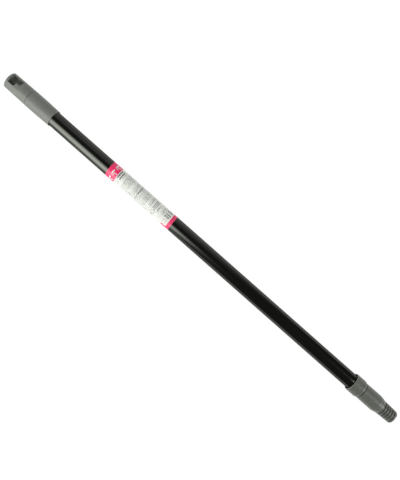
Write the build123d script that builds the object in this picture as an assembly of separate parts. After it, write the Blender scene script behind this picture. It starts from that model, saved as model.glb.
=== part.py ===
from build123d import *
import math
import os

# Roller extension pole, closed up. Millimetres.
# +X runs along the pole from the hang cap to the threaded tip, the origin is
# the centre of the cap's flat end, and the hanging window faces up (+Z).

# ---- tubes
OUTER_OD = 25.0          # black lacquered handle tube
OUTER_WALL = 0.7
OUTER_X0, OUTER_X1 = 27.5, 726.4
INNER_OD = 22.0
INNER_WALL = 0.7
INNER_X0, INNER_X1 = 120.0, 757.0
TRAVEL = 540.0           # how far the inner pole pulls out

# ---- hang cap
CAP_X1 = 41.95
CAP_END_OD = 26.9        # at the end face
CAP_SEAM_OD = 27.7       # at the seam with the sleeve
CAP_EDGE_R = 0.9
CAP_BORE = 22.4          # hollow behind the window
CAP_END_WALL = 2.6
CAP_BULKHEAD_X0 = 25.5
SPIGOT_X1 = 38.5
SPIGOT_BORE = 18.6
WIN_X0, WIN_XM, WIN_X1 = 4.0, 15.6, 22.5   # window: wide part, then narrow part
WIN_MID_DEG = -20.0      # window's middle, degrees from +Z, minus towards +Y
WIN_HALF = 7.75          # half width of the wide part, across the pull direction
WIN_STEP = 1.81          # where the narrow part stops, from the middle
WIN_SLANT = 1.0          # the narrow part's end runs out this much further beside the step

# ---- grip sleeve
SLEEVE_X0, SLEEVE_X1 = 42.25, 89.6
SLEEVE_OD = 28.1
SLEEVE_MOUTH_OD = 27.0

# ---- label
LABEL_X0, LABEL_X1 = 204.7, 333.1
LABEL_T = 0.12

# ---- guide collar and bush
COLLAR_X0, COLLAR_X1 = 707.8, 728.0
COLLAR_OD = 29.9
COLLAR_MOUTH_ID = 27.2
COLLAR_SKIRT = 5.5       # depth of the open skirt
COLLAR_CHAMFER_X = 724.9
COLLAR_FACE_OD = 28.1
COLLAR_BORE = 22.8
BUSH_X0 = 685.0
BUSH_BORE = 22.16

# ---- threaded tip
TIP_X0 = 728.8
TIP_OD = 27.5
TIP_TAPER_X0, TIP_TAPER_X1 = 759.9, 768.6
TIP_NECK_OD = 23.45
TIP_X1 = 795.9
THREAD_OD_END = 21.2     # crest diameter at the free end
THREAD_PITCH = 4.75
THREAD_DEPTH = 1.5
THREAD_TOP_X = 771.7     # first groove's middle on the +Z side
TIP_CORE = 12.0          # moulding core in the spigot

# ---- twist lock
BORE_R = OUTER_OD / 2 - OUTER_WALL
WEDGE_DEG = 10.0         # slope of the wedge nut's flats
WEDGE_X0, WEDGE_X1 = 76.0, 96.0
WEDGE_FLAT_R = 9.0       # distance of a flat from the axis at the thick end
WEDGE_OD = 18.8
SHOE_X0, SHOE_X1 = 79.0, 98.0
SHOE_HALF = 6.0
SHOE_LIFT = 0.40         # radial travel of a shoe from free to locked
CAGE_OD = 23.0
CAGE_X0, CAGE_X1 = 68.0, 115.0
SPINDLE_OD = 6.0
SPINDLE_LEAD = 3.0
SPINDLE_X0, SPINDLE_X1 = 64.5, 140.0
PLUG_X0, PLUG_X1 = 117.5, 150.0

OUT = "parts"
os.makedirs(OUT, exist_ok=True)


def ring(pts):
    """Solid of revolution about X from a closed (x, r) outline."""
    keep = []
    for x, r in pts:
        if not keep or math.hypot(x - keep[-1][0], r - keep[-1][1]) > 1e-3:
            keep.append((x, r))
    wire = Polyline(*[(x, r, 0) for x, r in keep], close=True)
    return revolve(make_face(wire), Axis.X, 360)


def rod(x0, x1, d):
    return Plane.YZ.offset(x0) * extrude(Circle(d / 2), amount=x1 - x0)


def tube(x0, x1, od, bore):
    return Plane.YZ.offset(x0) * extrude(Circle(od / 2) - Circle(bore / 2), amount=x1 - x0)


def save(name, shape, colour=None):
    solids = shape.solids()
    shape = solids[0] if len(solids) == 1 else Compound(children=list(solids))
    shape.label = name
    export_step(shape, f"{OUT}/{name}.step")
    print(name, len(solids), round(sum(s.volume for s in solids), 1))


def arc_pts(cx, cr, rad, a0, a1, n=5):
    """Points of an arc in (x, r), degrees measured from +x."""
    return [(cx + rad * math.cos(math.radians(a0 + (a1 - a0) * i / n)),
             cr + rad * math.sin(math.radians(a0 + (a1 - a0) * i / n))) for i in range(n + 1)]


# ------------------------------------------------------------- outer tube
outer_tube = tube(OUTER_X0, OUTER_X1, OUTER_OD, OUTER_OD - 2 * OUTER_WALL)
rivet_hole_x = 35.0
rivet_hole = Pos(rivet_hole_x, 0, -12) * Cylinder(1.6, 12)
outer_tube = outer_tube - rivet_hole

# --------------------------------------------------------------- hang cap
e = CAP_EDGE_R
cap = ring(
    [(0, 0), (0, CAP_END_OD / 2 - e)]
    + arc_pts(e, CAP_END_OD / 2 - e, e, 180, 90)[1:]
    + [(CAP_X1 - 0.4, CAP_SEAM_OD / 2), (CAP_X1, CAP_SEAM_OD / 2 - 0.4), (CAP_X1, OUTER_OD / 2),
       (OUTER_X0, OUTER_OD / 2), (OUTER_X0, BORE_R), (SPIGOT_X1 - 0.6, BORE_R),
       (SPIGOT_X1, BORE_R - 0.6), (SPIGOT_X1, SPIGOT_BORE / 2), (OUTER_X0 + 1.0, SPIGOT_BORE / 2),
       (OUTER_X0 + 1.0, 0), (CAP_BULKHEAD_X0, 0), (CAP_BULKHEAD_X0, CAP_BORE / 2 - 0.8),
       (CAP_BULKHEAD_X0 - 0.8, CAP_BORE / 2), (CAP_END_WALL + 0.8, CAP_BORE / 2),
       (CAP_END_WALL, CAP_BORE / 2 - 0.8), (CAP_END_WALL, 0)])
# L-shaped window, cut straight through one wall along its pull direction
win = Polyline((WIN_X0, -WIN_HALF), (WIN_X0, WIN_HALF), (WIN_X1, WIN_HALF), (WIN_X1 + WIN_SLANT, -WIN_STEP),
               (WIN_XM, -WIN_STEP), (WIN_XM, -WIN_HALF), close=True)
win_face = make_face(win)
win_face = fillet(win_face.vertices(), 0.6)
window = Rot(WIN_MID_DEG, 0, 0) * (Pos(0, 0, 3.0) * extrude(win_face, amount=14))
cap = cap - window - rivet_hole

cap_rivet = ring([(0, 0), (0, 2.9), (0.35, 2.6), (0.8, 1.9), (1.0, 0.9), (1.05, 0)])
cap_rivet = Pos(rivet_hole_x, 0, -CAP_SEAM_OD / 2 + 0.12) * Rot(0, 90, 0) * cap_rivet
cap_rivet = cap_rivet + Pos(rivet_hole_x, 0, -(CAP_SEAM_OD / 2 + 10.3) / 2) * Cylinder(1.6, CAP_SEAM_OD / 2 - 10.3)
cap_rivet = cap_rivet.solids()[0] if len(cap_rivet.solids()) == 1 else cap_rivet
# the head beds in a shallow spot face in the cap
cap = cap - Pos(rivet_hole_x, 0, -CAP_SEAM_OD / 2 - 0.98 + 0.1) * Cylinder(2.95, 2.0)

# ------------------------------------------------------------ grip sleeve
s0, s1 = SLEEVE_X0, SLEEVE_X1
sleeve = ring(
    [(s0, OUTER_OD / 2), (s0, SLEEVE_OD / 2 - 0.5), (s0 + 0.5, SLEEVE_OD / 2 - 0.1),
     (s0 + 10, SLEEVE_OD / 2), (s0 + 24, SLEEVE_OD / 2 - 0.06), (s1 - 10, SLEEVE_MOUTH_OD / 2 + 0.2),
     (s1 - 1.0, SLEEVE_MOUTH_OD / 2)]
    + arc_pts(s1 - 0.9, SLEEVE_MOUTH_OD / 2 - 0.9, 0.9, 90, 0, 4)
    + [(s1, OUTER_OD / 2 + 0.35), (s1 - 1.2, OUTER_OD / 2)])

# ------------------------------------------------------------------ label
label = tube(LABEL_X0, LABEL_X1, OUTER_OD + 2 * LABEL_T, OUTER_OD)

# ----------------------------------------------------------- guide collar
c0, c1 = COLLAR_X0, COLLAR_X1
collar = ring(
    [(c0, COLLAR_MOUTH_ID / 2 + 0.25), (c0 + 0.35, COLLAR_OD / 2 - 0.5), (c0 + 0.9, COLLAR_OD / 2 - 0.12),
     (c0 + 2.0, COLLAR_OD / 2), (COLLAR_CHAMFER_X, COLLAR_OD / 2), (c1 - 0.4, COLLAR_FACE_OD / 2),
     (c1, COLLAR_FACE_OD / 2 - 0.4), (c1, COLLAR_BORE / 2), (OUTER_X1, COLLAR_BORE / 2),
     (OUTER_X1, OUTER_OD / 2), (c0 + COLLAR_SKIRT + 1.2, OUTER_OD / 2),
     (c0 + COLLAR_SKIRT, COLLAR_MOUTH_ID / 2)])

# ------------------------------------------------------------- guide bush
bush = ring([(BUSH_X0, BUSH_BORE / 2 + 0.25), (BUSH_X0, BORE_R - 0.3), (BUSH_X0 + 1, BORE_R), (OUTER_X1, BORE_R),
             (OUTER_X1, BUSH_BORE / 2 + 0.2), (OUTER_X1 - 0.6, BUSH_BORE / 2), (BUSH_X0 + 1, BUSH_BORE / 2)])

# ------------------------------------------------------------- inner tube
tip_rivet_x = 743.0
inner_tube = tube(INNER_X0, INNER_X1, INNER_OD, INNER_OD - 2 * INNER_WALL)
tip_rivet_hole = Pos(tip_rivet_x, 0, -11) * Cylinder(1.6, 10)
inner_tube = inner_tube - tip_rivet_hole

# ----------------------------------------------------------- threaded tip
t0, t1 = TIP_X0, TIP_X1
tip = ring(
    [(t0, INNER_OD / 2), (t0, TIP_OD / 2 - 0.55), (t0 + 0.55, TIP_OD / 2)]
    + [(TIP_TAPER_X0, TIP_OD / 2), (TIP_TAPER_X0 + 1.0, TIP_OD / 2 - 0.35), (TIP_TAPER_X0 + 3.1, TIP_OD / 2 - 0.63),
       (TIP_TAPER_X1, TIP_NECK_OD / 2 + 0.17), (TIP_TAPER_X1 + 1.9, TIP_NECK_OD / 2), (t1 - 1.5, THREAD_OD_END / 2)]
    + arc_pts(t1 - 1.3, THREAD_OD_END / 2 - 1.3, 1.3, 85, 0, 4)
    + [(t1, 0), (t1 - 3.0, 0), (t1 - 3.0, TIP_CORE / 2 - 0.5), (t1 - 3.5, TIP_CORE / 2 - 0.1),
       (INNER_X1, TIP_CORE / 2 + 0.4), (INNER_X1, INNER_OD / 2)])


def helix_cut(z0, length, r0, cone_deg, pitch, depth, root_half, mouth_half):
    """Right-hand helical groove cutter about Z, starting at angle 0, height z0."""
    path = Edge.make_helix(pitch, length, r0, (0, 0, z0), (0, 0, 1), cone_deg)
    # groove section in the radial plane through the start point
    sec = Polyline((r0 - depth, 0, z0 - root_half), (r0 + 0.6, 0, z0 - mouth_half),
                   (r0 + 0.6, 0, z0 + mouth_half), (r0 - depth, 0, z0 + root_half), close=True)
    return Solid.sweep(make_face(sec).face(), Wire([path]), is_frenet=True)


slope = math.degrees(math.atan((TIP_NECK_OD - THREAD_OD_END) / 2 / (t1 - 1.5 - TIP_TAPER_X1 - 1.9)))
groove = helix_cut(THREAD_TOP_X - THREAD_PITCH / 2, THREAD_PITCH * 5.75, TIP_NECK_OD / 2, -slope,
                   THREAD_PITCH, THREAD_DEPTH, 0.45, 1.25)
groove = Rot(0, 90, 0) * groove
tip = tip - groove
tip = tip - tip_rivet_hole - Pos(tip_rivet_x, 0, -TIP_OD / 2 - 0.98 + 0.1) * Cylinder(2.95, 2.0)

tip_rivet = ring([(0, 0), (0, 2.9), (0.35, 2.6), (0.8, 1.9), (1.0, 0.9), (1.05, 0)])
tip_rivet = Pos(tip_rivet_x, 0, -TIP_OD / 2 + 0.12) * Rot(0, 90, 0) * tip_rivet
tip_rivet = tip_rivet + Pos(tip_rivet_x, 0, -(TIP_OD / 2 + 9.2) / 2) * Cylinder(1.6, TIP_OD / 2 - 9.2)

# -------------------------------------------------------- plug and spindle
plug_d = INNER_OD - 2 * INNER_WALL
plug = ring([(PLUG_X0, SPINDLE_OD / 2), (PLUG_X0, INNER_OD / 2 - 0.5), (PLUG_X0 + 0.4, INNER_OD / 2),
             (INNER_X0, INNER_OD / 2), (INNER_X0, plug_d / 2), (PLUG_X1 - 1.5, plug_d / 2),
             (PLUG_X1, plug_d / 2 - 1.2), (PLUG_X1, 6.0), (SPINDLE_X1 + 1.0, 6.0), (SPINDLE_X1 + 1.0, SPINDLE_OD / 2)])
spindle = ring([(SPINDLE_X0, 1.7), (SPINDLE_X0, SPINDLE_OD / 2 - 0.5), (SPINDLE_X0 + 0.5, SPINDLE_OD / 2),
                (SPINDLE_X1, SPINDLE_OD / 2), (SPINDLE_X1, 0), (SPINDLE_X0 + 12, 0), (SPINDLE_X0 + 12, 1.7)])
sp_groove = helix_cut(70.2, 34.0, SPINDLE_OD / 2, 0, SPINDLE_LEAD, 0.55, 0.35, 0.95)
spindle = spindle - Rot(0, 90, 0) * sp_groove

washer = tube(62.9, SPINDLE_X0, 11.0, 3.6)
screw = ring([(60.9, 0), (60.9, 1.0), (61.3, 2.2), (62.9, 3.1), (62.9, 1.7), (76.0, 1.7), (76.5, 1.2), (76.5, 0)])
screw = screw - Pos(61.4, 0, 0) * Box(1.4, 1.3, 1.3)

# ------------------------------------------------------------- shoe cage
cage = ring([(CAGE_X0, 3.4), (CAGE_X0, CAGE_OD / 2 - 0.6), (CAGE_X0 + 0.6, CAGE_OD / 2),
             (70.2, CAGE_OD / 2), (70.2, 10.6), (71.9, 10.6), (71.9, CAGE_OD / 2),
             (CAGE_X1 - 0.6, CAGE_OD / 2), (CAGE_X1, CAGE_OD / 2 - 0.6), (CAGE_X1, 3.4),
             (100.2, 3.4), (100.2, 9.7), (73.3, 9.7), (73.3, 3.4)])
for k in range(3):
    slot = Pos((SHOE_X0 + SHOE_X1) / 2, 0, 9.0) * Box(SHOE_X1 - SHOE_X0 + 0.4, 2 * SHOE_HALF + 0.3, 14)
    cage = cage - Rot(120 * k, 0, 0) * slot

friction_ring = ring([(70.25, 10.65), (70.25, BORE_R - 0.06), (71.85, BORE_R - 0.06), (71.85, 10.65)])
friction_ring = friction_ring - Pos(71, 0, -12) * Box(4, 1.2, 6)
thrust_washer = tube(CAGE_X1 + 0.1, PLUG_X0 - 0.1, 19.0, 6.5)

# ------------------------------------------------------------ wedge nut
tanw = math.tan(math.radians(WEDGE_DEG))
nut = tube(WEDGE_X0, WEDGE_X1, WEDGE_OD, SPINDLE_OD + 0.2)
shoes = []
for k in range(3):
    # flat face falling towards the inner pole at the wedge slope
    cut = Plane.XZ * make_face(Polyline((WEDGE_X0 - 1, WEDGE_FLAT_R + tanw), (WEDGE_X1 + 1, WEDGE_FLAT_R - (WEDGE_X1 + 1 - WEDGE_X0) * tanw),
                                        (WEDGE_X1 + 1, 14), (WEDGE_X0 - 1, 14), close=True))
    nut = nut - Rot(120 * k, 0, 0) * extrude(cut, amount=12, both=True)
    # shoe: bore-shaped outside, wedge-shaped inside, parallel sides
    gap = 0.06
    body = Plane.XZ * make_face(Polyline((SHOE_X0, WEDGE_FLAT_R - (SHOE_X0 - WEDGE_X0) * tanw + gap),
                                         (SHOE_X1, WEDGE_FLAT_R - (SHOE_X1 - WEDGE_X0) * tanw + gap),
                                         (SHOE_X1, 14), (SHOE_X0, 14), close=True))
    body = extrude(body, amount=SHOE_HALF, both=True)
    outside = Pos(0, 0, -SHOE_LIFT) * rod(SHOE_X0 - 1, SHOE_X1 + 1, 2 * (BORE_R - 0.05))
    body = body & outside
    # groove for the elastic ring, deeper than the ring by the shoe's travel
    body = body - tube(87.4, 89.6, 40, 2 * (BORE_R - 1.75))
    # serrations on the bearing face
    for gx in (81.5, 83.5, 85.5, 91.5, 93.5, 95.5):
        body = body - (Pos(0, 0, -SHOE_LIFT) * tube(gx - 0.25, gx + 0.25, 40, 2 * (BORE_R - 0.45)))
    shoes.append(Rot(120 * k, 0, 0) * body)

shoe_ring = revolve(Pos(88.5, BORE_R - 1.75 + 0.42 + 0.55) * Circle(0.55), Axis.X, 360)
# the cage bars are notched for the elastic ring
cage = cage - tube(87.3, 89.7, 40, 2 * (BORE_R - 1.6))

for name, shape in [
    ("outer_tube", outer_tube), ("hang_cap", cap), ("cap_rivet", cap_rivet), ("grip_sleeve", sleeve),
    ("product_label", label), ("guide_collar", collar), ("guide_bush", bush),
    ("shoe_cage", cage), ("friction_ring", friction_ring), ("thrust_washer", thrust_washer),
    ("expander_nut", nut), ("brake_shoe_a", shoes[0]), ("brake_shoe_b", shoes[1]), ("brake_shoe_c", shoes[2]),
    ("shoe_ring", shoe_ring), ("inner_tube", inner_tube), ("thread_tip", tip), ("tip_rivet", tip_rivet),
    ("lock_plug", plug), ("lock_spindle", spindle), ("stop_washer", washer), ("stop_screw", screw)]:
    save(name, shape)
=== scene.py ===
import bpy, bmesh, math
import numpy as np
from mathutils import Vector, Matrix


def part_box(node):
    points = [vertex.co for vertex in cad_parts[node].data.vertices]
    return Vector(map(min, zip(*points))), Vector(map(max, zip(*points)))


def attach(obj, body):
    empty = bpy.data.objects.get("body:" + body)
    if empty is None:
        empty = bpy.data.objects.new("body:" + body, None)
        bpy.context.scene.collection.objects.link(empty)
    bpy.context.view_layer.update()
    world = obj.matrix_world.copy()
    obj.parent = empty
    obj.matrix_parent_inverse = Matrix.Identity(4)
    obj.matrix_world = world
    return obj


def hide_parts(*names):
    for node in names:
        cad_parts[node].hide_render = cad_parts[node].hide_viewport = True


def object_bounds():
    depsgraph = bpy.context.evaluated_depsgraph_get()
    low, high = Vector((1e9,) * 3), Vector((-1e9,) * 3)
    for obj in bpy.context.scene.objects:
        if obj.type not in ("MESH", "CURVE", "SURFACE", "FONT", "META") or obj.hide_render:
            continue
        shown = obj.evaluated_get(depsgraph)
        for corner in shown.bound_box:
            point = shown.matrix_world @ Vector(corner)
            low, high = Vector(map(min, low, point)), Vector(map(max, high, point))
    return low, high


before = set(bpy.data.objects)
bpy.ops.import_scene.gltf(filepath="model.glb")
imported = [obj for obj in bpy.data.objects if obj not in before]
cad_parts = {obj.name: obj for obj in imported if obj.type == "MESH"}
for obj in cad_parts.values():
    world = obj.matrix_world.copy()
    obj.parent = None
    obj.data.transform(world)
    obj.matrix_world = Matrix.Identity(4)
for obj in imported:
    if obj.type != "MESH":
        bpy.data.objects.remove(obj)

CAD_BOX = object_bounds()
MM = 0.001


def span(node):
    """A node's box in millimetres: x from, x to, largest radius about the pole's axis."""
    lo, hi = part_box(node)
    return lo.x / MM, hi.x / MM, max(hi.y, hi.z, -lo.y, -lo.z) / MM


# ------------------------------------------------------------------ materials
GREY_D, GREY_L = (0.1365, 0.1472, 0.1277), (0.1485, 0.1603, 0.1388)
GREY2_D, GREY2_L = (0.1290, 0.1385, 0.1175), (0.1400, 0.1505, 0.1275)
PAPER_D, PAPER_L = (0.832, 0.849, 0.800), (0.886, 0.905, 0.853)
PINK_D, PINK_L = (0.885, 0.040, 0.168), (0.935, 0.051, 0.199)


class Mat:
    """A node material, written as arithmetic."""

    def __init__(self, name):
        self.mat = bpy.data.materials.new(name)
        self.mat.use_nodes = True
        self.nt = self.mat.node_tree
        self.bsdf = self.nt.nodes["Principled BSDF"]
        self.x = self.nt.nodes.new("ShaderNodeTexCoord").outputs["Object"]
        sep = self.nt.nodes.new("ShaderNodeSeparateXYZ")
        self.nt.links.new(self.x, sep.inputs[0])
        self.px, self.py, self.pz = sep.outputs
        self.bump_out = None

    def put(self, value, socket):
        if isinstance(value, bpy.types.NodeSocket):
            self.nt.links.new(value, socket)
        else:
            socket.default_value = value

    def m(self, op, a, b=None, c=None, clamp=False):
        n = self.nt.nodes.new("ShaderNodeMath")
        n.operation = op
        n.use_clamp = clamp
        for i, v in enumerate((a, b, c)):
            if v is not None:
                self.put(v, n.inputs[i])
        return n.outputs[0]

    def add(self, a, b): return self.m("ADD", a, b)
    def sub(self, a, b): return self.m("SUBTRACT", a, b)
    def mul(self, a, b): return self.m("MULTIPLY", a, b)
    def max(self, a, b): return self.m("MAXIMUM", a, b)

    def vec(self, x, y, z):
        n = self.nt.nodes.new("ShaderNodeCombineXYZ")
        for i, v in enumerate((x, y, z)):
            self.put(v, n.inputs[i])
        return n.outputs[0]

    def scaled(self, sx, sy, sz):
        return self.vec(self.mul(self.px, sx), self.mul(self.py, sy), self.mul(self.pz, sz))

    def noise(self, scale, detail=2.0, rough=0.5, vector=None, dist=0.0):
        n = self.nt.nodes.new("ShaderNodeTexNoise")
        self.put(vector if vector is not None else self.x, n.inputs["Vector"])
        n.inputs["Scale"].default_value = scale
        n.inputs["Detail"].default_value = detail
        n.inputs["Roughness"].default_value = rough
        n.inputs["Distortion"].default_value = dist
        return n.outputs[0]

    def voronoi(self, scale, vector=None, feature="F1"):
        n = self.nt.nodes.new("ShaderNodeTexVoronoi")
        n.feature = feature
        self.put(vector if vector is not None else self.x, n.inputs["Vector"])
        n.inputs["Scale"].default_value = scale
        return n.outputs["Distance"]

    def white(self, vector):
        n = self.nt.nodes.new("ShaderNodeTexWhiteNoise")
        n.noise_dimensions = "3D"
        self.put(vector, n.inputs["Vector"])
        return n.outputs["Value"]

    def ramp(self, fac, lo, hi, out0=0.0, out1=1.0, smooth=True):
        n = self.nt.nodes.new("ShaderNodeMapRange")
        if smooth:
            n.interpolation_type = "SMOOTHSTEP"
        n.clamp = True
        self.put(fac, n.inputs["Value"])
        n.inputs["From Min"].default_value = lo
        n.inputs["From Max"].default_value = hi
        n.inputs["To Min"].default_value = out0
        n.inputs["To Max"].default_value = out1
        return n.outputs["Result"]

    def mix(self, fac, a, b):
        n = self.nt.nodes.new("ShaderNodeMix")
        n.data_type = "RGBA"
        ins = [s for s in n.inputs if s.type == "RGBA"]
        self.put(fac, n.inputs[0])
        for s, v in zip(ins, (a, b)):
            self.put(v if isinstance(v, bpy.types.NodeSocket) else (*v[:3], 1.0), s)
        return [s for s in n.outputs if s.type == "RGBA"][0]

    def bump(self, height, strength, distance_mm):
        n = self.nt.nodes.new("ShaderNodeBump")
        n.inputs["Strength"].default_value = strength
        n.inputs["Distance"].default_value = distance_mm * MM
        self.put(height, n.inputs["Height"])
        if self.bump_out is not None:
            self.nt.links.new(self.bump_out, n.inputs["Normal"])
        self.bump_out = n.outputs[0]
        self.nt.links.new(self.bump_out, self.bsdf.inputs["Normal"])

    def set(self, **kw):
        names = {"color": "Base Color", "rough": "Roughness", "metal": "Metallic", "spec": "Specular IOR Level",
                 "coat": "Coat Weight", "coat_rough": "Coat Roughness", "ior": "IOR", "aniso": "Anisotropic",
                 "sheen": "Sheen Weight", "tint": "Specular Tint"}
        for k, v in kw.items():
            s = self.bsdf.inputs[names[k]]
            if k in ("color", "tint") and not isinstance(v, bpy.types.NodeSocket):
                v = (*v[:3], 1.0)
            self.put(v, s)
        return self

    def between(self, value, lo, hi):
        return self.mul(self.m("GREATER_THAN", value, lo), self.m("LESS_THAN", value, hi))


def lacquer():
    """Black stove lacquer over a drawn, welded steel tube."""
    g = Mat("black_lacquer_coat")
    cloud = g.noise(14.0, 3.0, 0.55, g.scaled(0.35, 1, 1))
    dust = g.ramp(g.voronoi(650.0), 0.0, 0.085, 1.0, 0.0)
    pick = g.ramp(g.noise(120.0, 1.0), 0.60, 0.72)
    speck = g.mul(dust, pick)
    # long hairline rubs along the pole
    hair = g.ramp(g.noise(1.0, 2.0, 0.6, g.scaled(9.0, 1500.0, 1500.0)), 0.62, 0.80)
    base = g.mix(cloud, (0.0600, 0.0628, 0.0555), (0.0700, 0.0730, 0.0645))
    base = g.mix(g.mul(hair, 0.22), base, (0.085, 0.086, 0.080))
    base = g.mix(g.mul(speck, 0.4), base, (0.16, 0.158, 0.155))
    rough = g.add(g.ramp(cloud, 0.3, 0.7, 0.125, 0.175), g.add(g.mul(hair, 0.10), g.mul(speck, 0.25)))
    g.set(color=base, rough=rough, metal=0.98, tint=(0.5, 0.5, 0.5), ior=1.5)
    g.bump(g.noise(420.0, 2.0, 0.5, g.scaled(0.55, 1, 1)), 0.05, 0.05)
    g.bump(g.noise(1.0, 1.0, 0.5, g.scaled(25.0, 900.0, 900.0)), 0.05, 0.02)
    return g.mat


def moulded(name, dark, light, rough=0.46, edges=(), seam_shade=(), even=0.0, roots=None):
    """Spark-textured polypropylene, with pale rings at its edges: rubs where edges take knocks, and painted highlights
    where an edge catches the light.
    edges is a list of (x in mm, half width in mm) where these pale rings sit, even says how unbroken
    they are, and the seam list holds (x, half width, strength) of seams and gaps darkened with painted shade.
    roots is a thread's crest line, (x, radius, x, radius) in mm: what lies below it is darkened with painted shade."""
    g = Mat(name)
    cloud = g.noise(38.0, 3.0, 0.6)
    fine = g.noise(900.0, 2.0, 0.6)
    tone = g.add(g.mul(cloud, 0.7), g.mul(fine, 0.3))
    base = g.mix(g.ramp(tone, 0.35, 0.65), dark, light)
    xmm = g.mul(g.px, 1000.0)
    # pale rings: rubbed wear where edges take knocks, and painted highlights on edges that catch the light
    wear_and_highlight = None
    for x, half in edges:
        ring = g.ramp(g.m("ABSOLUTE", g.sub(xmm, x)), 0.15 * half, half, 1.0, 0.0)
        wear_and_highlight = ring if wear_and_highlight is None else g.max(wear_and_highlight, ring)
    if wear_and_highlight is not None:
        patch = g.ramp(g.noise(260.0, 4.0, 0.65), 0.42 - 0.27 * even, 0.66 - 0.22 * even)
        wear_and_highlight = g.mul(wear_and_highlight, patch)
        base = g.mix(g.mul(wear_and_highlight, 0.42), base, tuple(min(1.0, c * 1.9 + 0.03) for c in light))
    # scuffs running round and along the piece
    scuff = g.ramp(g.noise(1.0, 3.0, 0.6, g.scaled(240.0, 60.0, 60.0), 0.6), 0.66, 0.78)
    base = g.mix(g.mul(scuff, 0.07 - 0.04 * even), base, tuple(min(1.0, c * 1.7 + 0.02) for c in light))
    grime_and_shade = g.ramp(g.noise(75.0, 4.0, 0.7), 0.60, 0.82)
    base = g.mix(g.mul(grime_and_shade, 0.08 - 0.05 * even), base, tuple(c * 0.55 for c in dark))
    # painted shade: the surface beside a seam or gap is darkened, standing in for the shade inside it
    for x, half, much in seam_shade:
        ring = g.ramp(g.m("ABSOLUTE", g.sub(xmm, x)), 0.45 * half, half, 1.0, 0.0)
        base = g.mix(g.mul(ring, g.ramp(g.noise(160.0, 3.0), 0.2, 0.6, 0.8 * much, much)), base, tuple(c * 0.25 for c in dark))
    # painted shade in the thread: below the crest line the colour darkens towards the roots, and the roughness rises
    # there
    if roots is not None:
        xa, ra, xb, rb = roots
        rad = g.mul(g.m("SQRT", g.add(g.mul(g.py, g.py), g.mul(g.pz, g.pz))), 1000.0)
        crest = g.add(g.mul(g.sub(xmm, xa), (rb - ra) / (xb - xa)), ra)
        root_shade = g.mul(g.ramp(g.sub(crest, rad), 0.15, 1.35), g.between(xmm, xa - 2.5, xb - 0.6))
        base = g.mix(g.mul(root_shade, g.ramp(g.noise(200.0, 3.0), 0.2, 0.6, 0.36, 0.44)), base, tuple(c * 0.35 for c in dark))
    r = g.add(g.ramp(cloud, 0.3, 0.7, rough - 0.03, rough + 0.03), g.mul(scuff, -0.04))
    if wear_and_highlight is not None:
        r = g.add(r, g.mul(wear_and_highlight, -0.10))
    if roots is not None:
        r = g.add(r, g.mul(root_shade, 0.25))
    g.set(color=base, rough=r, ior=1.49 - 0.06 * even)
    g.bump(g.noise(2600.0, 2.0, 0.65), 0.10, 0.04)
    g.bump(g.noise(420.0, 2.0, 0.5), 0.03 - 0.015 * even, 0.06)
    return g.mat


def steel(name, tint, rough=0.26, along=True, grime_and_shade=()):
    """Zinc plated steel with drawn lines and faint spangle.
    The ring list holds (x in mm, half width in mm) of near-black rings of painted shade, where the tube shows at the
    bottom of a gap."""
    g = Mat(name)
    stretch = g.scaled(12.0, 1400.0, 1400.0) if along else g.scaled(1500.0, 90.0, 90.0)
    lines = g.noise(1.0, 2.0, 0.55, stretch)
    cloud = g.noise(60.0, 3.0, 0.6)
    base = g.mix(g.ramp(cloud, 0.3, 0.7), tuple(c * 0.82 for c in tint), tint)
    base = g.mix(g.ramp(lines, 0.55, 0.8, 0.0, 0.35), base, tuple(min(1, c * 1.25) for c in tint))
    stain = g.ramp(g.noise(24.0, 4.0, 0.7), 0.60, 0.85)
    base = g.mix(g.mul(stain, 0.35), base, (tint[0] * 0.62, tint[1] * 0.58, tint[2] * 0.5))
    # painted shade: a near-black ring on the tube where it shows at the bottom of a gap
    for x, half in grime_and_shade:
        ring = g.ramp(g.m("ABSOLUTE", g.sub(g.mul(g.px, 1000.0), x)), 0.6 * half, half, 1.0, 0.0)
        base = g.mix(g.mul(ring, 0.9), base, (0.05, 0.048, 0.044))
    g.set(color=base, rough=g.add(g.ramp(lines, 0.3, 0.7, rough - 0.05, rough + 0.08), g.mul(stain, 0.12)), metal=1.0)
    g.bump(lines, 0.12, 0.03)
    return g.mat


def rubber(name):
    g = Mat(name)
    cloud = g.noise(300.0, 3.0, 0.6)
    g.set(color=g.mix(cloud, (0.012, 0.012, 0.012), (0.035, 0.034, 0.033)), rough=g.ramp(cloud, 0.3, 0.7, 0.68, 0.82))
    g.bump(g.noise(2400.0, 2.0, 0.6), 0.3, 0.05)
    return g.mat


LABEL_R = span("product_label")[2]
LABEL_X0, LABEL_X1, _ = span("product_label")
SKEW = 0.042     # the label was wrapped on slightly askew


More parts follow.
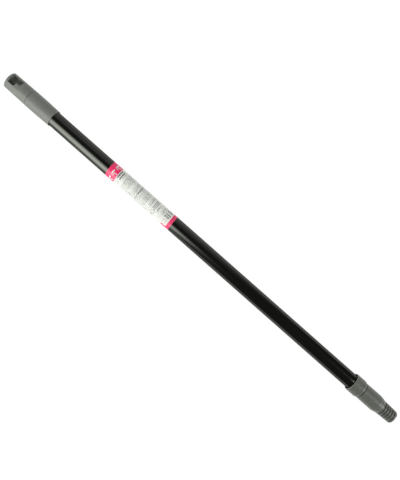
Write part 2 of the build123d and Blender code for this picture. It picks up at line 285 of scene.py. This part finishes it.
def label_film():
    """Printed paper label under a clear film: generic layout, greeked print, no lettering.
    The sheet's own coordinates: u runs along the pole, v round it, both in units of 100 mm."""
    g = Mat("label_print")
    uv = g.nt.nodes.new("ShaderNodeTexCoord").outputs["UV"]
    sep = g.nt.nodes.new("ShaderNodeSeparateXYZ")
    g.nt.links.new(uv, sep.inputs[0])
    x = g.mul(sep.outputs[0], 100.0)                     # mm from the label's first edge
    s = g.mul(sep.outputs[1], 100.0)                     # mm round the tube, 0 on top, + towards -Y
    L = LABEL_X1 - LABEL_X0

    def rect(x0, x1, s0, s1):
        return g.mul(g.between(x, x0, x1), g.between(s, s0, s1))

    def many(rects):
        out = None
        for r in rects:
            q = rect(*r)
            out = q if out is None else g.max(out, q)
        return out

    def rows(at, pitch, thick, cell, keep, seed, loose=1.0, full=0.80):
        """Rows of broken dashes that run round the tube, standing in for print."""
        u = g.m("DIVIDE", g.sub(x, at), pitch)
        row = g.m("FLOOR", u)
        line = g.m("LESS_THAN", g.m("FRACT", u), thick / pitch)
        wob = g.mul(g.white(g.vec(row, 7.3 + seed, 0.5)), cell * loose)
        v = g.m("DIVIDE", g.add(s, wob), cell)
        col = g.m("FLOOR", v)
        gap = g.m("LESS_THAN", g.m("FRACT", v), full)
        ink = g.m("LESS_THAN", g.white(g.vec(row, col, seed)), keep)
        return g.mul(line, g.mul(gap, ink))

    pink = many([(-2, 17.1, -60, 60), (L - 6.1, L + 2, -60, 60), (L - 14.6, L - 4.0, 12.3, 18.0)])
    # small pictograms of a paint roller in the wide band
    period = 11.6
    u = g.sub(g.mul(g.m("FRACT", g.m("DIVIDE", g.add(s, period * 40.42), period)), period), period / 2)

    def icon(x0, x1, u0, u1):
        return g.mul(g.between(x, x0, x1), g.between(u, u0, u1))
    roller = None
    for r in ((7.2, 9.6, -4.0, 2.2), (8.1, 8.8, 2.2, 4.3), (8.1, 12.1, 3.6, 4.3), (11.4, 12.1, -0.6, 4.3),
              (11.4, 16.0, -1.2, 0.0)):
        q = icon(*r)
        roller = q if roller is None else g.max(roller, q)
    roller = g.mul(roller, g.between(s, -23.2, 23.2))

    # headings, text blocks, a table and a tick ladder, in the order they stand along the pole
    bold = rows(18.2, 4.05, 2.2, 1.9, 0.93, 3.0, 1.0, 0.86)
    fine = rows(30.6, 2.16, 1.05, 1.9, 0.94, 1.0, 0.15, 0.74)
    tiny = rows(30.6, 2.16, 0.95, 1.9, 0.96, 2.0, 0.15, 0.74)
    rule = rows(58.1, 40.0, 1.9, 1.7, 0.95, 5.0, 1.0, 0.84)
    twin = rows(81.7, 2.35, 1.30, 1.8, 0.93, 6.0, 0.3)
    bold_m = rect(18.0, 24.8, -10.6, 3.6)
    rule_m = rect(57.8, 60.3, -13.2, 0.5)
    fine_m = many([(30.5, 43.5, -15.0, 3.0), (49.4, 56.9, -12.8, 2.0), (68.8, 77.6, -14.5, 1.8),
                   (97.6, 99.7, -9.0, 1.0)])
    twin_m = many([(81.4, 85.6, -13.0, 3.6), (88.6, 95.4, -14.0, 3.2), (98.1, 100.4, -6.6, 3.2), (105.2, 110.0, -12.2, 0.6)])
    tiny_m = many([(30.5, 45.6, 3.0, 16.5), (47.2, 60.2, 2.0, 14.5), (60.8, 68.8, -14.0, 16.0), (68.8, 77.6, 1.8, 16.0),
                   (25.8, 28.2, -10.0, 0.0), (18.0, 24.8, 6.6, 10.6), (80.2, 87.0, 9.6, 13.0),
                   (31.0, 62.0, 22.0, 37.0), (66.0, 106.0, 22.0, 37.0),
                   (20.0, 70.0, -37.0, -20.0), (74.0, 118.0, -37.0, -20.0)])
    comb = g.mul(g.m("LESS_THAN", g.m("FRACT", g.m("DIVIDE", x, 1.95)), 0.45), rect(111.0, 120.4, -3.0, 0.7))
    bars = g.max(comb, many([(111.0, 120.4, a, b) for a, b in ((-14.6, -14.0), (-12.6, -10.9), (-9.6, -9.2), (-6.5, -4.9),
                                                              (-3.0, -2.0), (3.5, 4.1), (6.2, 6.5))]))
    box = g.sub(many([(89.6, 96.2, 4.4, 9.2)]), many([(90.3, 95.5, 5.1, 8.5)]))
    dot = many([(91.0, 95.4, 10.8, 12.6)])
    sign = g.sub(many([(45.6, 49.0, 10.0, 13.4), (78.3, 81.6, 11.8, 15.1)]), many([(46.2, 48.4, 10.6, 12.8), (78.9, 81.0, 12.4, 14.5)]))
    ink_soft = g.max(g.mul(fine, fine_m), g.mul(g.mul(tiny, tiny_m), 0.58))
    ink_hard = g.max(g.max(g.max(g.mul(bold, bold_m), g.mul(rule, rule_m)), g.mul(g.mul(twin, twin_m), 0.62)),
                     g.max(g.max(g.mul(bars, 0.88), g.mul(rect(58.3, 59.7, 0.5, 14.0), 0.55)),
                           g.max(g.mul(box, 0.5), g.max(g.mul(sign, 0.75), g.mul(dot, 0.7)))))
    ink = g.m("MINIMUM", g.max(g.mul(ink_soft, 0.62), g.mul(ink_hard, 0.90)), 1.0)

    fibre = g.noise(140.0, 4.0, 0.65)
    paper = g.mix(g.ramp(fibre, 0.3, 0.7), PAPER_D, PAPER_L)
    printed = g.mix(ink, paper, (0.040, 0.040, 0.045))
    tint = g.mix(g.ramp(g.noise(55.0, 3.0, 0.6), 0.3, 0.7), PINK_D, PINK_L)
    small = g.mul(g.mul(tiny, g.m("GREATER_THAN", x, L - 4.4)), 0.10)
    band = g.mix(g.max(roller, small), tint, paper)
    col = g.mix(pink, printed, band)
    rub = g.ramp(g.noise(1.0, 4.0, 0.7, g.scaled(70.0, 260.0, 260.0), 0.5), 0.64, 0.80)
    col = g.mix(g.mul(rub, 0.20), col, tuple(c * 0.86 for c in PAPER_D))
    edge = g.max(g.ramp(x, 0.0, 1.0, 1.0, 0.0), g.ramp(x, L - 1.0, L, 0.0, 1.0))
    col = g.mix(g.mul(edge, g.ramp(g.noise(500.0, 3.0), 0.45, 0.7, 0.0, 0.55)), col, tuple(c * 0.6 for c in PAPER_D))
    g.set(color=col, rough=g.add(g.ramp(fibre, 0.3, 0.7, 0.46, 0.54), g.sub(g.mul(rub, 0.15), g.mul(pink, 0.26))), ior=1.42)
    g.bsdf.inputs["Diffuse Roughness"].default_value = 1.0
    g.bump(g.noise(90.0, 3.0, 0.55), 0.12, 0.12)
    g.bump(g.mul(ink, -1.0), 0.10, 0.02)
    return g.mat


# -------------------------------------------------------------------- meshes
def rounded(pts, n=5):
    """A closed outline of (x, r, fillet) with its corners rounded."""
    out = []
    k = len(pts)
    for i in range(k):
        x, r = pts[i][0], pts[i][1]
        f = pts[i][2] if len(pts[i]) > 2 else 0.0
        if f <= 0:
            out.append((x, r))
            continue
        p, a, b = Vector((x, r)), Vector(pts[i - 1][:2]), Vector(pts[(i + 1) % k][:2])
        u, v = (a - p), (b - p)
        lu, lv = u.length, v.length
        u.normalize(); v.normalize()
        half = math.acos(max(-1, min(1, u.dot(v)))) / 2
        if half > math.radians(88.5) or half < math.radians(3):
            out.append((x, r))
            continue
        d = min(f / math.tan(half), 0.48 * lu, 0.48 * lv)
        f = d * math.tan(half)
        c = p + (u + v).normalized() * (f / math.sin(half))
        s, e = p + u * d - c, p + v * d - c
        a0, a1 = math.atan2(s.y, s.x), math.atan2(e.y, e.x)
        da = (a1 - a0 + math.pi) % (2 * math.pi) - math.pi
        for j in range(n + 1):
            t = a0 + da * j / n
            out.append((c.x + f * math.cos(t), c.y + f * math.sin(t)))
    return out


def put(name, verts, faces, mat, body, nodes=(), sharp=32.0):
    me = bpy.data.meshes.new(name)
    me.from_pydata([tuple(c * MM for c in v) for v in verts], [], faces)
    me.validate()
    bm = bmesh.new()
    bm.from_mesh(me)
    bmesh.ops.recalc_face_normals(bm, faces=bm.faces)
    bm.to_mesh(me)
    bm.free()
    me.shade_smooth()
    me.set_sharp_from_angle(angle=math.radians(sharp))
    ob = bpy.data.objects.new(name, me)
    bpy.context.scene.collection.objects.link(ob)
    me.materials.append(mat)
    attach(ob, body)
    if nodes:
        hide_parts(*nodes)
    return ob


def lathe_mesh(profile, seg):
    """Vertices and faces of an outline turned about X; a point with r = 0 becomes one vertex."""
    verts, rings = [], []
    for x, r in profile:
        if r < 1e-6:
            rings.append([len(verts)])
            verts.append((x, 0, 0))
        else:
            rings.append(list(range(len(verts), len(verts) + seg)))
            verts += [(x, r * math.sin(2 * math.pi * j / seg), r * math.cos(2 * math.pi * j / seg)) for j in range(seg)]
    faces = []
    for a, b in zip(rings, rings[1:] + rings[:1]):
        if len(a) == 1 and len(b) == 1:
            continue
        for j in range(seg):
            j2 = (j + 1) % seg
            if len(a) == 1:
                faces.append((a[0], b[j], b[j2]))
            elif len(b) == 1:
                faces.append((a[j2], a[j], b[0]))
            else:
                faces.append((a[j], b[j], b[j2], a[j2]))
    return verts, faces


def lathe(name, profile, mat, body, nodes=(), seg=192, sharp=32.0):
    v, f = lathe_mesh(profile, seg)
    return put(name, v, f, mat, body, nodes, sharp)


# ------------------------------------------------------------------- camera
lo, hi = CAD_BOX
LEN = hi.x - lo.x
AIM = Vector((lo.x + 0.3818, 0.00895, 0.0))
TILT = math.radians(1.5)
ROLL = math.radians(41.44)
DIST = 0.7792
LENS_PX = 500.0
back = Vector((-math.sin(TILT), 0, math.cos(TILT)))
along = Vector((math.cos(TILT), 0, math.sin(TILT)))
cross = Vector((0, 1, 0))
right = along * math.cos(ROLL) + cross * math.sin(ROLL)
up = along * -math.sin(ROLL) + cross * math.cos(ROLL)
cam = bpy.data.cameras.new("camera")
cam.lens = 36.0 * LENS_PX / 480.0
cam.sensor_width = 36.0
cam.clip_start = 0.01
cam_ob = bpy.data.objects.new("camera", cam)
place = Matrix((right, up, back)).transposed().to_4x4()
place.translation = AIM + back * DIST
cam_ob.matrix_world = place
bpy.context.scene.collection.objects.link(cam_ob)
bpy.context.scene.camera = cam_ob


# ------------------------------------------------------------ floor and light
def area(name, low, high, y_size, radiance, ramps=(), toward=None):
    """A soft box given by the middles of its bottom and top edges and its width along the pole
    (or across it, for a box standing beyond the pole's end). ramps dim it: each is
    (weight along u, weight along v, from, to), u along the box's width, v from bottom to top."""
    low, high = Vector(low), Vector(high)
    mid, v = (low + high) / 2, (high - low)
    size_v = v.length
    v.normalize()
    side = Vector((1, 0, 0)) if abs(v.x) < 0.2 else Vector((0, 1, 0))
    z = side.cross(v).normalized()
    if z.dot((toward or Vector((mid.x, 0, 0))) - mid) > 0:      # the lamp shines along its own -Z
        z = -z
    u = v.cross(z).normalized()
    li = bpy.data.lights.new(name, "AREA")
    li.shape = "RECTANGLE"
    li.size, li.size_y = y_size, size_v
    li.energy = radiance * math.pi * y_size * size_v
    ob = bpy.data.objects.new(name, li)
    m = Matrix((u, v, z)).transposed().to_4x4()
    m.translation = mid
    ob.matrix_world = m
    bpy.context.scene.collection.objects.link(ob)
    if ramps:
        li.use_nodes = True
        nt = li.node_tree
        em = nt.nodes["Emission"]
        geo = nt.nodes.new("ShaderNodeNewGeometry")
        sep = nt.nodes.new("ShaderNodeSeparateXYZ")
        nt.links.new(geo.outputs["Parametric"], sep.inputs[0])

        def math2(op, p, q):
            n = nt.nodes.new("ShaderNodeMath")
            n.operation = op
            for i, w in enumerate((p, q)):
                if isinstance(w, (int, float)):
                    n.inputs[i].default_value = w
                else:
                    nt.links.new(w, n.inputs[i])
            return n.outputs[0]
        total = 1.0
        for wu, wv, a, b in ramps:
            val = math2("ADD", math2("MULTIPLY", sep.outputs[0], wu * (1 if u.x + u.y > 0 else -1)),
                        math2("MULTIPLY", sep.outputs[1], wv))
            if wu and u.x + u.y < 0:
                val = math2("ADD", val, wu)
            r = nt.nodes.new("ShaderNodeMapRange")
            r.interpolation_type = "SMOOTHSTEP"
            nt.links.new(val, r.inputs["Value"])
            r.inputs["From Min"].default_value = min(a, b)
            r.inputs["From Max"].default_value = max(a, b)
            r.inputs["To Min"].default_value = 0.0 if a < b else 1.0
            r.inputs["To Max"].default_value = 1.0 if a < b else 0.0
            total = math2("MULTIPLY", total, r.outputs[0])
        nt.links.new(total, em.inputs["Strength"])
    return ob


def floor():
    me = bpy.data.meshes.new("floor")
    s = 6.0
    z = lo.z - 0.0002
    me.from_pydata([(-s, -s, z), (s, -s, z), (s, s, z), (-s, s, z)], [], [(0, 1, 2, 3)])
    ob = bpy.data.objects.new("floor", me)
    bpy.context.scene.collection.objects.link(ob)
    g = Mat("floor_paper")
    grain = g.noise(300.0, 2.0, 0.5)
    g.set(color=g.mix(grain, (0.055, 0.055, 0.055), (0.065, 0.065, 0.065)), rough=0.9)
    g.bsdf.inputs["Specular IOR Level"].default_value = 0.0
    g.bsdf.inputs["Emission Color"].default_value = (1, 1, 1, 1)
    g.bsdf.inputs["Emission Strength"].default_value = FLOOR_GLOW
    me.materials.append(g.mat)
    return ob


FLOOR_GLOW = 0.97
KEY, FILL, END, HEAD, TAIL = 5.25, 0.42, 8.6, 7.0, 0.2
floor()
CX = lo.x + LEN / 2
# big soft box standing on the -Y side, over the cap's half of the pole
area("key_softbox", (-0.02, -1.15, 0.02), (-0.02, -0.29, 1.18), 1.15, KEY,
     ramps=[(0, 1, 1.06, 0.46), (0, 1, -0.2, 0.3), (1, -0.2, 0.77, 0.64)])
# wide pale panel on the other side
area("fill_panel", (0.025, 1.25, 0.0), (0.025, 0.60, 1.20), 1.85, FILL,
     ramps=[(0, 1, 1.15, 0.55), (1, 0.28, 1.12, 0.66)])
# small tall box beyond the threaded end
area("end_box", (2.05, 0.36, 0.30), (1.42, 0.36, 1.22), 0.35, END, toward=Vector((0.75, 0.16, 0)))
# panel beyond the cap's end, out of the tube's mirror line
area("head_panel", (-1.85, 0.80, 0.55), (-1.35, 0.80, 1.25), 0.95, HEAD, toward=Vector((0.2, 0, 0)))
area("tail_panel", (2.10, 1.00, 0.30), (1.70, 1.00, 1.00), 0.80, TAIL, toward=Vector((0.3, 0, 0)))

world = bpy.data.worlds.new("studio")
bpy.context.scene.world = world
world.use_nodes = True
nt = world.node_tree
bg = nt.nodes["Background"]
bg.inputs["Color"].default_value = (1.0, 1.0, 1.0, 1)
bg.inputs["Strength"].default_value = 0.08
sc = bpy.context.scene
sc.view_settings.view_transform = "Standard"
sc.view_settings.look = "None"
sc.render.film_transparent = False

cap_x0, cap_x1, cap_r = span("hang_cap")
sl_x0, sl_x1, sl_r = span("grip_sleeve")
co_x0, co_x1, co_r = span("guide_collar")
ti_x0, ti_x1, ti_r = span("thread_tip")
ot_x0, ot_x1, ot_r = span("outer_tube")
it_x0, it_x1, it_r = span("inner_tube")
M_LACQUER = lacquer()
# the cap and the sleeve each get a thin ring of painted shade along the seam between them
M_CAP = moulded("cap_plastic", GREY_D, GREY_L, 0.47, [(cap_x0 + 0.3, 1.3)], [(cap_x1, 0.42, 0.42)])
M_SLEEVE = moulded("sleeve_plastic", GREY_D, GREY_L, 0.47, [(sl_x1 - 0.3, 1.0)], [(sl_x0, 0.42, 0.42)])
# the ring at the collar's nose (co_x1 - 1.5) is a painted highlight; the one at its mouth is wear
M_COLLAR = moulded("collar_plastic", GREY2_D, GREY2_L, 0.42, [(co_x0 + 0.3, 0.7), (co_x1 - 1.5, 1.3)], even=0.8)
# on the tip, the ring at the cone's edge (ti_x0 + 32) is a painted highlight and the other rings are wear; its first
# millimetre beside the gap and its thread roots are darkened with painted shade
M_TIP = moulded("tip_plastic", GREY2_D, GREY2_L, 0.42, [(ti_x0 + 32.0, 1.1), (ti_x0 + 37.5, 2.2), (ti_x1 - 1.0, 1.4)],
                [(ti_x0 - 0.1, 0.6, 0.9)], even=0.8, roots=(ti_x0 + 41.8, 11.72, ti_x1 - 1.6, 10.62))
M_LABEL = label_film()
# the dark ring on the slide tube is painted shade in the gap between the guide collar and the tip
M_ZINC = steel("zinc_tube_skin", (0.55, 0.56, 0.58), 0.24, grime_and_shade=[(ti_x0 - 0.2, 0.9)])
M_ALU = steel("rivet_alloy", (0.72, 0.72, 0.73), 0.30, along=False)
M_SPINDLE = steel("spindle_plate", (0.60, 0.59, 0.56), 0.28, along=False)
M_ACETAL = moulded("acetal_natural", (0.60, 0.60, 0.56), (0.70, 0.70, 0.66), 0.38)
M_BLACKPOM = moulded("acetal_black", (0.018, 0.018, 0.019), (0.030, 0.030, 0.031), 0.40)
M_NUT = moulded("nut_red", (0.36, 0.045, 0.030), (0.46, 0.065, 0.040), 0.40)
M_SHOE = moulded("shoe_black", (0.022, 0.022, 0.022), (0.040, 0.039, 0.038), 0.62)
M_RUBBER = rubber("ring_rubber_skin")

for node, mat in {"cap_rivet": M_ALU, "tip_rivet": M_ALU, "guide_bush": M_ACETAL, "shoe_cage": M_ACETAL,
                  "friction_ring": M_BLACKPOM, "thrust_washer": M_ACETAL, "expander_nut": M_NUT,
                  "brake_shoe_a": M_SHOE, "brake_shoe_b": M_SHOE, "brake_shoe_c": M_SHOE, "shoe_ring": M_RUBBER,
                  "lock_plug": M_BLACKPOM, "lock_spindle": M_SPINDLE, "stop_washer": M_SPINDLE,
                  "stop_screw": M_SPINDLE}.items():
    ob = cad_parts[node]
    ob.data.materials.clear()
    ob.data.materials.append(mat)
    for p in ob.data.polygons:
        p.material_index = 0

# -------------------------------------------------------------------- pieces
BORE = ot_r - 0.7


def steps(x0, x1, n):
    return [x0 + (x1 - x0) * i / n for i in range(1, n)]


# outer tube: long skin split lengthwise so that it shades evenly, ends deburred
prof = ([(ot_x0, BORE, 0.12), (ot_x0, ot_r, 0.18)] + [(x, ot_r) for x in steps(ot_x0, ot_x1, 24)]
        + [(ot_x1, ot_r, 0.12), (ot_x1, BORE, 0.12)])
lathe("handle_tube", rounded(prof, 3), M_LACQUER, "outer_pole", ["outer_tube"])
prof = ([(it_x0, it_r - 0.7, 0.12), (it_x0, it_r, 0.18)] + [(x, it_r) for x in steps(it_x0, it_x1, 24)]
        + [(it_x1, it_r, 0.12), (it_x1, it_r - 0.7, 0.12)])
lathe("slide_tube", rounded(prof, 3), M_ZINC, "inner_pole", ["inner_tube"])


def wrap_label():
    """The label as one sheet wrapped round the tube a little askew, its ends lapped at the back."""
    n, lap = 240, math.radians(9)
    x0, x1 = LABEL_X0, LABEL_X1
    start = math.pi + lap / 2
    inner, outer = 12.508, LABEL_R - 0.002
    flat = [0.0, 0.25] + [(x1 - x0) * k / 12 for k in range(1, 12)] + [x1 - x0 - 0.25, x1 - x0]
    k, m = len(flat), 2 * len(flat)
    verts, uvs, faces = [], [], []
    for i in range(n + 1):
        turned = (2 * math.pi + lap) * i / n
        a = start - turned                                  # from +Z, positive towards -Y
        lift = 0.105 * min(1.0, max(0.0, (turned - (2 * math.pi - lap)) / (lap * 0.8)))
        for r in (inner, outer):
            for q in flat:
                verts.append((x0 + q + SKEW * a * LABEL_R, -(r + lift) * math.sin(a), (r + lift) * math.cos(a)))
                uvs.append((q / 100.0, a * LABEL_R / 100.0))
    for i in range(n):
        b, c = i * m, (i + 1) * m
        for j in range(k - 1):
            faces.append((b + j, b + j + 1, c + j + 1, c + j))
            faces.append((b + k + j, c + k + j, c + k + j + 1, b + k + j + 1))
        faces.append((b, c, c + k, b + k))
        faces.append((b + k - 1, b + 2 * k - 1, c + 2 * k - 1, c + k - 1))
    for b, flip in ((0, False), (n * m, True)):
        for j in range(k - 1):
            q = (b + j, b + k + j, b + k + j + 1, b + j + 1)
            faces.append(q[::-1] if flip else q)
    ob = put("wrapped_label", verts, faces, M_LABEL, "outer_pole", ["product_label"], sharp=50)
    layer = ob.data.uv_layers.new(name="sheet")
    for loop in ob.data.loops:
        layer.data[loop.index].uv = uvs[loop.vertex_index]


wrap_label()

# grip sleeve: faint barrel, rolled mouth with a lead-in to the tube
sw = sl_x1
prof = [(sl_x0, ot_r, 0), (sl_x0, sl_r - 0.20, 0.08), (sl_x0 + 0.3, sl_r - 0.08, 0.3), (sl_x0 + 10, sl_r, 8),
        (sl_x0 + 24, sl_r - 0.06, 12), (sw - 10, sl_r - 0.35, 10), (sw - 1.6, sl_r - 0.54, 1.5),
        (sw, sl_r - 0.62, 0.85), (sw, ot_r + 0.40, 0.25), (sw - 1.3, ot_r, 0)]
lathe("sleeve_shell", rounded(prof, 6), M_SLEEVE, "outer_pole", ["grip_sleeve"])

# hang cap: turned shell, then the window is cut straight through one wall
e = 0.9
prof = [(cap_x0, 0, 0), (cap_x0, 13.40, e), (cap_x0 + 6, 13.44, 4), (cap_x0 + 28, 13.70, 20), (cap_x1 - 2.5, cap_r - 0.02, 1.5),
        (cap_x1 - 0.3, cap_r - 0.04, 0.15), (cap_x1, cap_r - 0.30, 0.08), (cap_x1, ot_r, 0), (ot_x0, ot_r, 0), (ot_x0, BORE, 0),
        (ot_x0 + 11.0, BORE, 0.5), (ot_x0 + 11.0, 9.3, 0.3), (ot_x0 + 1.0, 9.3, 0.8), (ot_x0 + 1.0, 0, 0), (ot_x0 - 2.0, 0, 0),
        (ot_x0 - 2.0, 11.2, 0.8), (cap_x0 + 2.6, 11.2, 0.8), (cap_x0 + 2.6, 0, 0)]
cap = lathe("cap_shell", rounded(prof, 6), M_CAP, "outer_pole", ["hang_cap"], seg=256)


def window_cutter():
    deg = math.radians(-20.0)
    x0, xm, x1 = cap_x0 + 4.0, cap_x0 + 15.6, cap_x0 + 22.5
    w, step, f = 7.75, 1.81, 0.5
    # outline in (x, across), across grows towards -Y on top
    pts = rounded([(x0, -w, f), (x1, -w, f), (x1 + 1.0, step, f), (xm, step, f), (xm, w, f), (x0, w, f)], 5)
    d = Vector((0, -math.sin(deg), math.cos(deg)))
    a = Vector((0, -math.cos(deg), -math.sin(deg)))
    verts = []
    for h in (4.0, 17.0):
        for x, t in pts:
            p = Vector((x, 0, 0)) + a * t + d * h
            verts.append(tuple(c * MM for c in p))
    n = len(pts)
    faces = [tuple(range(n)), tuple(range(2 * n - 1, n - 1, -1))]
    faces += [(i, i + n, (i + 1) % n + n, (i + 1) % n) for i in range(n)]
    me = bpy.data.meshes.new("cutter")
    me.from_pydata(verts, [], faces)
    bm = bmesh.new(); bm.from_mesh(me)
    bmesh.ops.recalc_face_normals(bm, faces=bm.faces)
    bm.to_mesh(me); bm.free()
    ob = bpy.data.objects.new("cutter", me)
    bpy.context.scene.collection.objects.link(ob)
    return ob


def apply_all(ob):
    dg = bpy.context.evaluated_depsgraph_get()
    me = bpy.data.meshes.new_from_object(ob.evaluated_get(dg), depsgraph=dg)
    ob.modifiers.clear()
    ob.data = me
    return ob


cutter = window_cutter()
mod = cap.modifiers.new("window", "BOOLEAN")
mod.operation = "DIFFERENCE"
mod.object = cutter
mod.solver = "EXACT"
bpy.context.view_layer.update()
apply_all(cap)
bpy.data.objects.remove(cutter, do_unlink=True)
bev = cap.modifiers.new("edge", "BEVEL")
bev.width = 0.28 * MM
bev.segments = 3
bev.limit_method = "ANGLE"
bev.angle_limit = math.radians(50)
bev.use_clamp_overlap = True
bev.miter_outer = "MITER_ARC"
apply_all(cap)
cap.data.shade_smooth()
cap.data.set_sharp_from_angle(angle=math.radians(32))

# guide collar: open skirt round the tube, body seated on it, chamfered nose
prof = [(co_x0, 13.85, 0.15), (co_x0 + 0.2, co_r - 0.32, 0.3), (co_x0 + 1.2, co_r - 0.03, 1.0), (co_x0 + 4, co_r, 2), (co_x0 + 10, co_r, 2),
        (co_x1 - 3.1, co_r - 0.01, 0.5), (co_x1 - 0.4, co_r - 0.88, 0.3), (co_x1, co_r - 1.30, 0.2),
        (co_x1, 11.4, 0.2), (ot_x1, 11.4, 0), (ot_x1, ot_r, 0), (co_x0 + 6.7, ot_r, 0), (co_x0 + 5.5, 13.6, 0.6)]
lathe("collar_shell", rounded(prof, 6), M_COLLAR, "outer_pole", ["guide_collar"])


def threaded_tip():
    """Tip body, taper, neck and right-hand tapered thread as one closed skin."""
    seg = 240
    pitch, depth, top_x = 4.75, 1.65, 771.7
    outer = rounded([(ti_x0, 11.0, 0), (ti_x0, ti_r - 0.22, 0.25), (ti_x0 + 4.0, ti_r - 0.08, 2.0), (ti_x0 + 20.0, ti_r, 8.0),
                     (ti_x0 + 31.2, ti_r, 0.5), (ti_x0 + 32.2, ti_r - 0.36, 0.6), (ti_x0 + 34.3, ti_r - 0.63, 1.0),
                     (ti_x0 + 39.9, 11.90, 1.5), (ti_x0 + 41.8, 11.72, 2.0), (ti_x1 - 1.6, 10.62, 0.5), (ti_x1, 9.3, 1.3),
                     (ti_x1, 0, 0)], 6)[1:]
    # resample the outside densely where the thread runs
    line = []
    for (xa, ra), (xb, rb) in zip(outer, outer[1:]):
        if xb <= xa or xa < 765.0:
            line.append((xa, ra))
            continue
        k = max(1, int(math.ceil((xb - xa) / 0.14)))
        line += [(xa + (xb - xa) * i / k, ra + (rb - ra) * i / k) for i in range(k)]
    line.append(outer[-1])
    verts, rings = [], []
    for x, r in line:
        if r < 1e-6:
            rings.append([len(verts)]); verts.append((x, 0, 0)); continue
        ring = []
        for j in range(seg):
            a = 2 * math.pi * j / seg                      # from +Z towards +Y
            rr = r
            if x > 767.3 and r > 8.5:
                # right-hand helix about +X: the groove's middle on the +Z side is at top_x
                # turning from +Y towards +Z advances along +X
                phi = math.atan2(math.cos(a), math.sin(a)) - math.pi / 2
                u = (x - top_x) / pitch - phi / (2 * math.pi)
                f = abs(u - round(u)) * pitch              # mm from the nearest groove's middle
                turns = (x - 768.4) / pitch
                fade = min(1.0, max(0.0, turns / 0.35))
                half, flat = 1.28, 0.50
                if f < half:
                    w = 1.0 if f < flat else 0.5 + 0.5 * math.cos(math.pi * (f - flat) / (half - flat))
                    rr = r - depth * fade * w
            ring.append(len(verts))
            verts.append((x, rr * math.sin(a), rr * math.cos(a)))
        rings.append(ring)
    # inside: tube socket, then the moulding core
    for x, r in [(ti_x1 - 3.0, 0), (ti_x1 - 3.0, 5.6), (ti_x1 - 3.4, 5.9), (it_x1, 6.4), (it_x1, 11.0), (ti_x0, 11.0)]:
        if r < 1e-6:
            rings.append([len(verts)]); verts.append((x, 0, 0)); continue
        rings.append(list(range(len(verts), len(verts) + seg)))
        verts += [(x, r * math.sin(2 * math.pi * j / seg), r * math.cos(2 * math.pi * j / seg)) for j in range(seg)]
    faces = []
    for a, b in zip(rings, rings[1:] + rings[:1]):
        if len(a) == 1 and len(b) == 1:
            continue
        for j in range(seg):
            k = (j + 1) % seg
            if len(a) == 1:
                faces.append((a[0], b[j], b[k]))
            elif len(b) == 1:
                faces.append((a[k], a[j], b[0]))
            else:
                faces.append((a[j], b[j], b[k], a[k]))
    put("tip_body", verts, faces, M_TIP, "inner_pole", ["thread_tip"], sharp=40)


threaded_tip()

bpy.context.view_layer.update()
